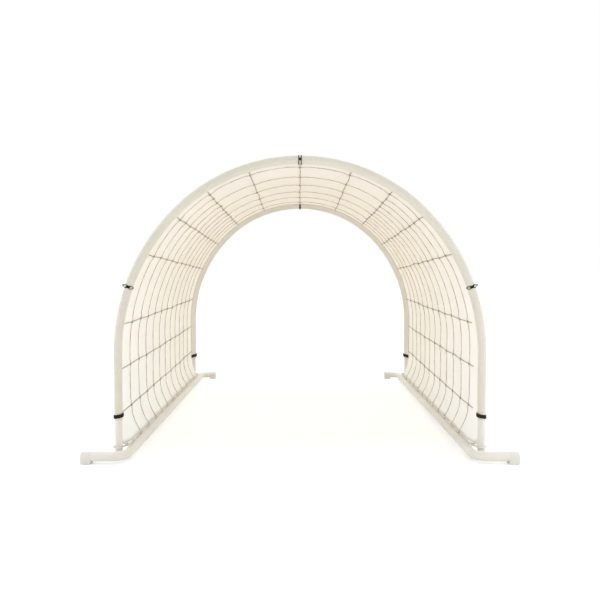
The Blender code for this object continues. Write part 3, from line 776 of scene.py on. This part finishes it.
def make_seats(paint):
    for end_name, end in ENDS:
        for side_name, side in SIDES:
            name = f"{end_name}_{side_name}_leg_seat"
            leg_y = end * HALF_LENGTH
            foot = Vector((side * ARCH_HALF_WIDTH, leg_y, SEAT_TOP))
            finish_piece(make_plate(name, leg_y, side), "rails", "cream_paint", paint, name)
            for piece in (make_spigot(name, foot), make_weld_bead(name, leg_y, side)):
                finish_piece(piece, "rails", "cream_paint", paint)


# Cloth pieces


def cloth_layer(name, arcs, lengths, thickness, offset=0.0):
    """The cover, or a second layer off it, over these arcs and lengths."""
    rows = [[cloth_point(arc, y, offset) for y in lengths] for arc in arcs]
    places = [[(arc, y) for y in lengths] for arc in arcs]
    return thicken(grid_mesh(name, rows, places=places), thickness)


def make_cover(cloth):
    arcs = steps(-HEM_ARC, HEM_ARC, COVER_ARC_STEPS)
    lengths = steps(-COVER_HALF_LENGTH, COVER_HALF_LENGTH, COVER_LENGTH_STEPS)
    cover = cloth_layer("cover_cloth_panel", arcs, lengths, CLOTH_THICKNESS)
    return finish_piece(cover, "canopy", "cover_cloth", cloth, "cover_panel")


def seam_offset(arc):
    """How far the cover stands out from the arch's axis at the seam of a hem sleeve."""
    turn = max(0.0, abs(arc) - SKIRT_TOP_ARC) / SKIRT_RADIUS
    return COVER_OFFSET - SKIRT_RADIUS * (1 - cos(turn))


def sleeve_profile(cloth, pucker, proud=0.0, setback=SEAM_SETBACK):
    """A hem sleeve seen along the arch, as (inwards, outwards): from the seam round the tube and back.

    A tie has the same profile, proud of the sleeve and with its setback short of the seam.
    """
    made = []
    angles = []
    radius = SLEEVE_RADIUS + proud
    for way in (1, -1):
        seam = Vector((setback, cloth + way * (FLAP_OFFSET + proud)))
        turn = atan2(seam.y, seam.x) + way * acos(radius / seam.length)
        touch = Vector(polar(radius, turn))
        flap = []
        for share in steps(0.0, 1.0, 7):
            point = seam.lerp(touch, share)
            point.y += (pucker - way * FLAP_SAG) * sin(pi * share)
            flap.append(point)
        made.append(flap)
        angles.append(turn)
    round_tube = [Vector(polar(radius, angle)) for angle in steps(angles[0], 2 * pi + angles[1], 22)]
    return made[0] + round_tube[1:-1] + made[1][::-1]


def make_sleeves(cloth):
    for end_name, end in ENDS:
        rows = []
        places = []
        for arc in steps(-SLEEVE_END_ARC, SLEEVE_END_ARC, 260):
            pucker = SLEEVE_PUCKER_HEIGHT * cloth_noise(arc, end, SLEEVE_NOISE)
            profile = sleeve_profile(seam_offset(arc), pucker)
            row = []
            marks = []
            walked = 0.0
            for before, point in zip([profile[0], *profile], profile):
                walked += (point - before).length
                (x, z), _ = section(arc, point.y)
                row.append(Vector((x, end * (HALF_LENGTH - point.x), z)))
                marks.append((arc, walked))
            rows.append(row)
            places.append(marks)
        sleeve = grid_mesh(f"{end_name}_hem_sleeve_cloth", rows, places=places)
        thicken(sleeve, FLAP_THICKNESS)
        finish_piece(sleeve, "canopy", "sleeve_cloth", cloth, f"{end_name}_hem_sleeve")


def hem_steps(low, high):
    return steps(low, high, max(2, int(abs(high - low) / HEM_MESH)))


def hem_strip(name, arcs, lengths, cloth):
    """A folded edge: a second layer over the cover, between two arcs and two lengths."""
    strip = cloth_layer(name, hem_steps(*arcs), hem_steps(*lengths), FLAP_THICKNESS, HEM_OFFSET)
    return finish_piece(strip, "canopy", "cover_cloth", cloth)


def make_lower_hems(cloth):
    made = []
    for side_name, side in SIDES:
        edge = side * HEM_ARC
        top = side * (HEM_ARC - HEM_HEIGHT)
        whole = (-COVER_HALF_LENGTH, COVER_HALF_LENGTH)
        made.append(hem_strip(f"{side_name}_hem", (top, edge), whole, cloth))
        for end_name, end in ENDS:
            lengths = (end * (COVER_HALF_LENGTH - HEM_HEIGHT), end * COVER_HALF_LENGTH)
            arcs = (side * (SLEEVE_END_ARC + SKIRT_HEM_GAP), top)
            made.append(hem_strip(f"{end_name}_{side_name}_skirt_hem", arcs, lengths, cloth))
    return made


def stitch_row(route, normals):
    """Short threads along a route, each dipping into the cloth at its ends."""
    splines = []
    total = [0.0]
    for low, high in zip(route, route[1:]):
        total.append(total[-1] + (high - low).length)
    start = STITCH_PITCH / 2
    index = 0
    while start + STITCH_LENGTH < total[-1]:
        points = []
        for share, lift in STITCH_SHAPE:
            at = start + STITCH_LENGTH * share
            while total[index + 1] < at:
                index += 1
            part = (at - total[index]) / (total[index + 1] - total[index])
            place = route[index].lerp(route[index + 1], part)
            normal = normals[index].lerp(normals[index + 1], part)
            points.append(place + normal * lift)
        splines.append((points, STITCH_RADIUS, False, 0))
        start += STITCH_PITCH
    return splines


def cloth_route(arcs_and_lengths, offset):
    """A route over the cloth at an offset, with the cloth's outward direction times the offset's sign."""
    sign = 1 if offset > 0 else -1
    route = []
    normals = []
    for arc, y in arcs_and_lengths:
        route.append(cloth_point(arc, y, offset))
        _, (out_x, out_z) = cloth_section(arc)
        normals.append(Vector((out_x, 0, out_z)) * sign)
    return route, normals


def stitch(name, slot, thread, places, offsets):
    """Stitches at these places of the cloth, at each offset."""
    splines = []
    for offset in offsets:
        splines += stitch_row(*cloth_route(places, offset))
    finish_piece(cord_curve(name, splines, 1), "canopy", slot, thread)


def make_stitches(thread):
    lift = FLAP_OFFSET + FLAP_THICKNESS / 2
    for end_name, end in ENDS:
        y = end * (SEAM_Y + SEAM_STITCH_SETBACK)
        places = [(arc, y) for arc in steps(-SLEEVE_END_ARC, SLEEVE_END_ARC, 300)]
        stitch(f"{end_name}_seam_stitches", "sleeve_cloth", thread, places, (lift, -lift))
    lift = HEM_OFFSET + FLAP_THICKNESS / 2
    for side_name, side in SIDES:
        arc = side * (HEM_ARC - HEM_HEIGHT + HEM_STITCH_RISE)
        places = [(arc, y) for y in steps(-COVER_HALF_LENGTH, COVER_HALF_LENGTH, 200)]
        stitch(f"{side_name}_hem_stitches", "cover_cloth", thread, places, (lift, -CLOTH_THICKNESS / 2))


# Net


def knot_points(place, outward, size, turn, count=26):
    """A small closed knot round a crossing, lying in the cloth's plane."""
    away = outward.normalized()
    first = away.orthogonal().normalized()
    second = away.cross(first)
    made = []
    for step in range(count):
        angle = 2 * pi * step / count
        reach = 2 + cos(3 * angle)
        across = reach * cos(2 * angle + turn)
        up = reach * sin(2 * angle + turn)
        made.append(place + (first * across + second * up + away * 1.1 * sin(3 * angle)) * size)
    return made


def signed_cords():
    """Side and number of each lengthwise cord, the crown's first."""
    return [(0, 0)] + [(side, cord) for _, side in SIDES for cord in range(1, len(FRONT_CORD_ARCS))]


def cord_arc(side, cord, y):
    """Where a lengthwise cord lies: nearly straight, with a small zigzag from hoop to hoop."""
    share = (y + HALF_LENGTH) / (2 * HALF_LENGTH)
    straight = FRONT_CORD_ARCS[cord] + (REAR_CORD_ARCS[cord] - FRONT_CORD_ARCS[cord]) * share
    wander = CORD_WANDER * noise_at(y * CORD_WANDER_SCALE, cord * 5.3 + side * 2.9, 0.9)
    return side * straight + wander + CORD_ZIGZAG * cos(pi * y / HOOP_SPACING)


def hoop_middle(row):
    return HOOP_SPACING * (row - (HOOP_COUNT - 1) / 2)


def hoop_y(row, arc):
    """Where a hoop cord crosses an arc: hoops wander a little along the tunnel."""
    return hoop_middle(row) + HOOP_WANDER * noise_at(arc * HOOP_WANDER_SCALE, row * 4.1, 3.3)


def cord_ends(side, cord):
    """The ends of a lengthwise cord. At the front the upper and the right ones stop short of the seam."""
    setback = CORD_SETBACK
    if 0 < cord <= UPPER_CORD_COUNT:
        setback = UPPER_CORD_SETBACK
    elif side > 0:
        setback = RIGHT_CORD_SETBACK
    return setback - HALF_LENGTH, HALF_LENGTH - CORD_SETBACK


def make_net(long_cord, knot_cord, hoop_cord, hitch_cord):
    long_splines = []
    for side, cord in signed_cords():
        low, high = cord_ends(side, cord)
        count = int((high - low) / CORD_STEP)
        points = [cloth_point(cord_arc(side, cord, low), low)]
        for y in steps(low, high, count):
            points.append(cloth_point(cord_arc(side, cord, y), y, -CORD_DEPTH))
        long_splines.append((points, LONG_CORD_RADIUS, False, 0))
    hoop_splines = []
    for row in range(HOOP_COUNT):
        for low, high in hoop_spans(row):
            points = []
            for arc in steps(low, high, int((high - low) / CORD_STEP)):
                points.append(cloth_point(arc, hoop_y(row, arc), hoop_depth(row, arc)))
            hoop_splines.append((points, HOOP_CORD_RADIUS, False, 0))
        for side, cord in signed_cords():
            if row % 2 and cord < SHORT_HOOP_CORD:
                continue
            long_splines.append(net_knot(row, side, cord))
        for _, side in SIDES:
            hitch = rope_hitch(hoop_y(row, side * HEM_ARC), side)
            hoop_splines.append((hitch, HOOP_CORD_RADIUS, False, 1))
    long_cords = cord_curve("net_long_cords", long_splines)
    finish_piece(long_cords, "canopy", "net_cord", (long_cord, knot_cord), "net")
    hoops = cord_curve("net_hoop_cords", hoop_splines)
    finish_piece(hoops, "canopy", "net_cord", (hoop_cord, hitch_cord), "net")


def hoop_spans(row):
    """The arcs that a hoop cord covers. Every second one is open at the top."""
    if row % 2 == 0:
        return [(-HEM_ARC, HEM_ARC)]
    y = hoop_y(row, 0.0)
    return [(-HEM_ARC, cord_arc(-1, SHORT_HOOP_CORD, y)), (cord_arc(1, SHORT_HOOP_CORD, y), HEM_ARC)]


def hoop_depth(row, arc):
    """A hoop lies on the cloth, and rises over each cord that it crosses."""
    y = hoop_y(row, arc)
    near = min(abs(arc - cord_arc(side, cord, y)) for side, cord in signed_cords())
    return -HOOP_CORD_DEPTH - CROSSING_RISE * (1 - ease(CROSSING_TOP, CROSSING_REACH, near))


def net_knot(row, side, cord):
    """The knot where a hoop crosses a lengthwise cord, turned by chance."""
    y = hoop_y(row, cord_arc(side, cord, hoop_middle(row)))
    arc = cord_arc(side, cord, y)
    _, (out_x, out_z) = cloth_section(arc)
    place = cloth_point(arc, y, -CORD_DEPTH - NET_KNOT_RISE)
    turn = 6 * noise_at(arc * 31, row * 17, 2.2)
    return knot_points(place, Vector((out_x, 0, out_z)), NET_KNOT_SIZE, turn), NET_KNOT_CORD, True, 1


def rope_hitch(y, side):
    """The hoop cord's end, wound twice round the hem rope and pressed a little into it."""
    reach = ROPE_RADIUS + HOOP_CORD_RADIUS * 0.7
    made = []
    for share in steps(0.0, 1.0, HITCH_STEPS):
        angle = HITCH_START + 4 * pi * share
        x = side * (ROPE_X + reach * cos(angle))
        made.append(Vector((x, y + HITCH_LENGTH * (share - 0.5), ROPE_HEIGHT + reach * sin(angle))))
    return made


# Ropes and ties


def rope_route(side):
    """The hem rope's line: along the rail, round each leg and back to its knot."""
    radius = ARCH_TUBE_RADIUS + ROPE_GAP + ROPE_RADIUS
    middle_x = (ROPE_X + ARCH_HALF_WIDTH - radius) / 2
    ends = []
    for _, end in ENDS:
        # Here y runs from the leg's axis towards the tunnel's middle
        level = [(ROPE_X, 0.060), (ROPE_X, 0.028), (middle_x, 0.013)]
        for angle in steps(pi, pi + ROPE_TURN, 16):
            level.append((ARCH_HALF_WIDTH + radius * cos(angle), radius * sin(angle)))
        ends.append([Vector((side * x, end * (HALF_LENGTH - y), ROPE_HEIGHT)) for x, y in level])
    straight = []
    for y in steps(-ROPE_STRAIGHT_END, ROPE_STRAIGHT_END, 12):
        swell = ROPE_SWELL * (0.5 - 0.5 * cos(20 * pi * y))
        straight.append(Vector((side * ROPE_X, y, ROPE_HEIGHT + swell)))
    return smooth_route([*ends[0][::-1], *straight, *ends[1]], 6)


def even_points(route, pitch):
    """Points a fixed distance apart along a route."""
    made = [route[0].copy()]
    left = pitch
    for low, high in zip(route, route[1:]):
        span = (high - low).length
        at = left
        while at <= span:
            made.append(low.lerp(high, at / span))
            at += pitch
        left = at - span
    return made


def rope_strands(route):
    """Laid strands wound round a route."""
    points = even_points(route, ROPE_PITCH / STRAND_STEPS)
    frames = frames_along(points)
    splines = []
    for strand in range(STRAND_COUNT):
        made = []
        for step, (point, (side, up)) in enumerate(zip(points, frames)):
            angle = 2 * pi * (step / STRAND_STEPS + strand / STRAND_COUNT)
            across = side * ROPE_STRAND_OFFSET * cos(angle)
            made.append(point + across + up * ROPE_STRAND_OFFSET * sin(angle))
        splines.append((made, ROPE_STRAND_RADIUS, False, 0))
    return splines


def make_ropes(rope_cord, knot_cord):
    middle_x = (ROPE_X + ARCH_HALF_WIDTH - ARCH_TUBE_RADIUS - ROPE_RADIUS) / 2
    for side_name, side in SIDES:
        splines = rope_strands(rope_route(side))
        for _, end in ENDS:
            place = Vector((side * middle_x, end * (HALF_LENGTH - ROPE_KNOT_SETBACK), ROPE_KNOT_HEIGHT))
            knot = knot_points(place, Vector((0.3 * side, 0.2 * end, 1.0)), ROPE_KNOT_SIZE, 0.6 * end)
            splines.append((knot, ROPE_KNOT_CORD, True, 1))
            tail = [place + Vector((-side * x, -end * y, z)) for x, y, z in ROPE_TAIL]
            splines.append((smooth_route(tail, 5), ROPE_TAIL_CORD, False, 1))
        rope = cord_curve(f"{side_name}_hem_rope_strands", splines)
        finish_piece(rope, "canopy", "hem_rope", (rope_cord, knot_cord), f"{side_name}_hem_rope")


def tie_matrix(arc, end):
    """The place of a tie: its X points out of the arch, its Y out of the tunnel, its Z along the tube."""
    (x, z), (out_x, out_z) = section(arc)
    outward = Vector((out_x, 0, out_z))
    away = Vector((0, end, 0))
    along = outward.cross(away)
    turn = Matrix((outward, away, along)).transposed().to_4x4()
    return Matrix.Translation((x, end * HALF_LENGTH, z)) @ turn


def tie_loop(arc, proud, setback):
    """A tie's line, as (out of the arch, out of the tunnel): round the sleeve and through the cloth."""
    line = sleeve_profile(seam_offset(arc), 0.0, proud, setback)
    return [Vector((point.y, -point.x)) for point in line]


def face_share(point):
    """1 on the sleeve's outer half, and 0 where a tie runs back to the cloth."""
    return ease(-TIE_CORD_REACH, 0.0, point.y)


def ring_tie(spread, radius, setback):
    """Two strands side by side round the sleeve, with a knotted bar between them on the outer face."""
    splines = []
    for way in (-1, 1):
        strand = [Vector((*point, way * spread / 2)) for point in tie_loop(0.0, radius, setback)]
        splines.append((strand, radius, True, 0))
    centre = Vector((TOP_KNOT_RISE, SLEEVE_RADIUS + 1.8 * radius, 0.0))
    knot = knot_points(centre, Vector((0.25, 1.0, 0.1)), TOP_KNOT_SIZE, 0.4, 30)
    splines.append((knot, radius, True, 0))
    shares = (-0.9, -0.45, 0.0, 0.45, 0.9)
    bar = [centre + Vector((*TOP_BAR_SHIFT, share * spread / 2)) for share in shares]
    splines.append((bar, radius * TOP_BAR_SWELL, False, 0))
    return splines


def bow_tie():
    """A strand each way that bows out on both sides of a whipping, its outer loop slack."""
    splines = []
    for way in (-1, 1):
        strand = []
        for point in tie_loop(SIDE_TIE_ARC, BOW_GAP + TIE_CORD_RADIUS, TIE_SETBACK):
            turn = point.normalized()
            stand = BOW_SLACK * max(0.0, turn.x) ** 3 * face_share(point)
            bow = BOW_START + BOW_SPREAD * sin(pi * min(1.0, abs(turn.x))) * face_share(point)
            strand.append(Vector((point.x + stand, point.y, way * bow)))
        splines.append((strand, BOW_CORD_RADIUS, True, 0))
    wrap = []
    for share in steps(0.0, 1.0, 60):
        angle = 2 * pi * BOW_WRAP_TURNS * share
        along = BOW_WRAP_LENGTH * (share - 0.5)
        out = (SLEEVE_RADIUS + TIE_CORD_RADIUS) * cos(asin(along / SLEEVE_RADIUS))
        out += BOW_WRAP_DEPTH * cos(angle)
        wrap.append(Vector((along, out, BOW_WRAP_RADIUS * sin(angle))))
    splines.append((wrap, TIE_CORD_RADIUS, False, 0))
    return splines


def strap_section(width):
    """Across a strap: a flat band with rounded edges, as (along the tube, off the strap's middle)."""
    half = width / 2
    edge = STRAP_THICKNESS / 2
    made = []
    for middle, start in ((half - edge, -pi / 2), (edge - half, pi / 2)):
        for angle in steps(start, start + pi, 6):
            made.append((middle + edge * cos(angle), edge * sin(angle)))
        for along in (middle / 3, -middle / 3):
            made.append((along, edge if start < 0 else -edge))
    return made


def strap_line(arc):
    """A strap's line: once round, then a lap over its start, as (out of the arch, out of the tunnel)."""
    loop = tie_loop(arc, STRAP_GAP + STRAP_THICKNESS / 2, STRAP_SETBACK)
    middle = len(loop) // 2
    once = loop[middle:] + loop[: middle + 1]
    lap = loop[middle + 1 : middle + 1 + STRAP_LAP_POINTS]
    return once + [point * (1 + STRAP_THICKNESS / point.length) for point in lap]


def make_strap(name, arc, end, material):
    """A strap round the sleeve, higher on its inner side, its lapped end standing up a little."""
    place = tie_matrix(arc, end)
    up = 1 if place.col[2].z > 0 else -1
    line = strap_line(arc)
    ring = strap_section(FRONT_STRAP_WIDTH if end < 0 else REAR_STRAP_WIDTH)
    rows = []
    places = []
    walked = 0.0
    for step, point in enumerate(line):
        before = line[max(step - 1, 0)]
        after = line[min(step + 1, len(line) - 1)]
        walked += (point - before).length
        ahead = (after - before).normalized()
        off = Vector((-ahead.y, ahead.x))
        lift = up * STRAP_END_LIFT * ease(len(line) - 1 - STRAP_END_POINTS, len(line) - 1, step)
        row = []
        for along, out in ring:
            spot = point + off * out
            row.append(place @ Vector((spot.x, spot.y, along + lift - up * STRAP_TILT * point.x)))
        rows.append(row)
        places.append([(walked, along) for along, _ in ring])
    start, finish = [[sum(row, Vector()) / len(ring)] * len(ring) for row in (rows[0], rows[-1])]
    rows = [start, *rows, finish]
    places = [places[0], *places, places[-1]]
    strap = grid_mesh(f"{name}_strap", rows, wrap=True, places=places)
    weld(strap)
    finish_piece(strap, "canopy", "tie_strap", material, name)


def make_ties(black, webbing):
    for end_name, end in ENDS:
        strands_shape = FRONT_TOP_STRANDS if end < 0 else REAR_TOP_STRANDS
        make_tie(f"{end_name}_top_tie", 0.0, end, ring_tie(*strands_shape), black)
        for side_name, side in SIDES:
            make_strap(f"{end_name}_{side_name}_low_tie", side * LOW_TIE_ARC, end, webbing)
    for side_name, side in SIDES:
        make_tie(f"front_{side_name}_side_tie", side * SIDE_TIE_ARC, -1, bow_tie(), black)


def make_tie(name, arc, end, splines, black):
    place = tie_matrix(arc, end)
    moved = []
    for points, radius, closed, index in splines:
        moved.append(([place @ point for point in points], radius, closed, index))
    tie = cord_curve(f"{name}_cord", moved, 3)
    finish_piece(tie, "canopy", "tie_strap", black, name)


# Stage


def empty_tree(owner):
    owner.use_nodes = True
    owner.node_tree.nodes.clear()
    return owner.node_tree


def make_floor():
    """A pale floor that keeps the shadows, and glows a little to the camera so that it is white."""
    bpy.ops.mesh.primitive_plane_add(size=60.0, location=(0, 0, -0.0002))
    floor = bpy.context.object
    floor.name = "floor"
    material = bpy.data.materials.new("floor_white")
    tree = empty_tree(material)
    ray = new_node(tree, "LightPath").outputs
    seen = math_node(tree, "ADD", ray["Is Camera Ray"], ray["Is Glossy Ray"])
    glow = new_node(tree, "Emission", {"Strength": math_node(tree, "MULTIPLY", seen, FLOOR_GLOW)})
    paper = new_node(tree, "BsdfDiffuse", {"Color": FLOOR_COLOUR})
    both = new_node(tree, "AddShader", {0: paper.outputs[0], 1: glow.outputs[0]})
    new_node(tree, "OutputMaterial", {"Surface": both.outputs[0]})
    floor.data.materials.append(material)


def make_world():
    """White to the camera. Its light is weaker from the front, and stronger square to the tunnel."""
    world = bpy.data.worlds.new("studio")
    bpy.context.scene.world = world
    tree = empty_tree(world)
    direction = new_node(tree, "TexCoord").outputs["Generated"]
    along = new_node(tree, "SeparateXYZ", {0: direction}).outputs["Y"]
    ends = range_node(tree, along, -SQUARE_WIDTH, SQUARE_WIDTH, FRONT_WORLD, BACK_WORLD)
    square = range_node(tree, math_node(tree, "ABSOLUTE", along), 0.0, SQUARE_WIDTH, SQUARE_WORLD, 0.0)
    light = {"Color": WHITE, "Strength": math_node(tree, "ADD", ends, square)}
    soft = new_node(tree, "Background", light)
    white = new_node(tree, "Background", {"Color": WHITE, "Strength": 1.0})
    ray = new_node(tree, "LightPath").outputs
    seen = math_node(tree, "MAXIMUM", ray["Is Camera Ray"], ray["Is Glossy Ray"])
    seen = math_node(tree, "MAXIMUM", seen, ray["Is Transmission Ray"])
    mix = new_node(tree, "MixShader", {0: seen, 1: soft.outputs[0], 2: white.outputs[0]})
    new_node(tree, "OutputWorld", {"Surface": mix.outputs[0]})


def make_lamp(name, place, target, size, power):
    light = bpy.data.lights.new(name, "AREA")
    light.shape = "DISK"
    light.size = size
    light.energy = power
    obj = add(name, light)
    obj.location = place
    obj.rotation_euler = (Vector(target) - Vector(place)).to_track_quat("-Z", "Y").to_euler()
    obj.visible_camera = False


def make_camera():
    camera = bpy.data.cameras.new("photo_camera")
    camera.lens = LENS
    camera.sensor_width = SENSOR
    obj = add("photo_camera", camera)
    obj.location = CAMERA_PLACE
    obj.rotation_euler = (pi / 2 - CAMERA_DOWN, 0, 0)
    bpy.context.scene.camera = obj


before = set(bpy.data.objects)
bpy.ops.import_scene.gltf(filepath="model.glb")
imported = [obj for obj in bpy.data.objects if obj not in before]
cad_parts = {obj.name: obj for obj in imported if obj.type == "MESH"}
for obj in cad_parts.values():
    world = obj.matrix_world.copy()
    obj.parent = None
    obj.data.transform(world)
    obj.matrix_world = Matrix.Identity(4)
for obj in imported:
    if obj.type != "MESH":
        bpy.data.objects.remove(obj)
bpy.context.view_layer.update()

paint = paint_material("cream_powder_coat", PAINT_COLOUR, 0.36)
plastic = paint_material("foot_cap_plastic", CAP_COLOUR, 0.55)
# The cover's skirts carry painted light, and its rear carries painted shade
cover_cloth = cloth_material("cream_cover_cloth_painted_light", COVER_COLOUR, COVER_GLOW, low_painted_light_colour=LOW_COVER_PAINTED_LIGHT_COLOUR)
hem_cloth = cloth_material("cream_hem_cloth", HEM_COLOUR, HEM_COLOUR, see_through=0.88)
sleeve_cloth = cloth_material("off_white_sleeve_cloth", SLEEVE_COLOUR, SLEEVE_GLOW, see_through=0.2)
thread = cord_material("stitch_thread", THREAD_COLOUR, THREAD_LAY, 0.2)
long_cord = cord_material("net_long_cord", LONG_CORD_COLOUR)
knot_cord = cord_material("net_knot_cord", NET_KNOT_COLOUR)
hoop_cord = cord_material("net_hoop_cord", HOOP_CORD_COLOUR)
hitch_cord = cord_material("net_hitch_cord", HITCH_COLOUR)
rope_cord = cord_material("hem_rope_cord", ROPE_COLOUR)
rope_knot_cord = cord_material("hem_rope_knot", ROPE_KNOT_COLOUR)
black = cord_material("black_tie_cord", TIE_COLOUR, THREAD_LAY, 0.5)
webbing = cloth_material("black_webbing", WEBBING_COLOUR, BLACK, WEBBING_THREAD, see_through=0.0)

make_rails(paint)
make_caps(plastic)
make_seats(paint)
make_arches(paint)
cover = make_cover(cover_cloth)
make_sleeves(sleeve_cloth)
hems = make_lower_hems(hem_cloth)
make_stitches(thread)
make_net(long_cord, knot_cord, hoop_cord, hitch_cord)
make_ropes(rope_cord, rope_knot_cord)
make_ties(black, webbing)
make_floor()
make_world()
for lamp in LAMPS:
    make_lamp(*lamp)
make_camera()
bpy.context.scene.view_settings.view_transform = "Standard"
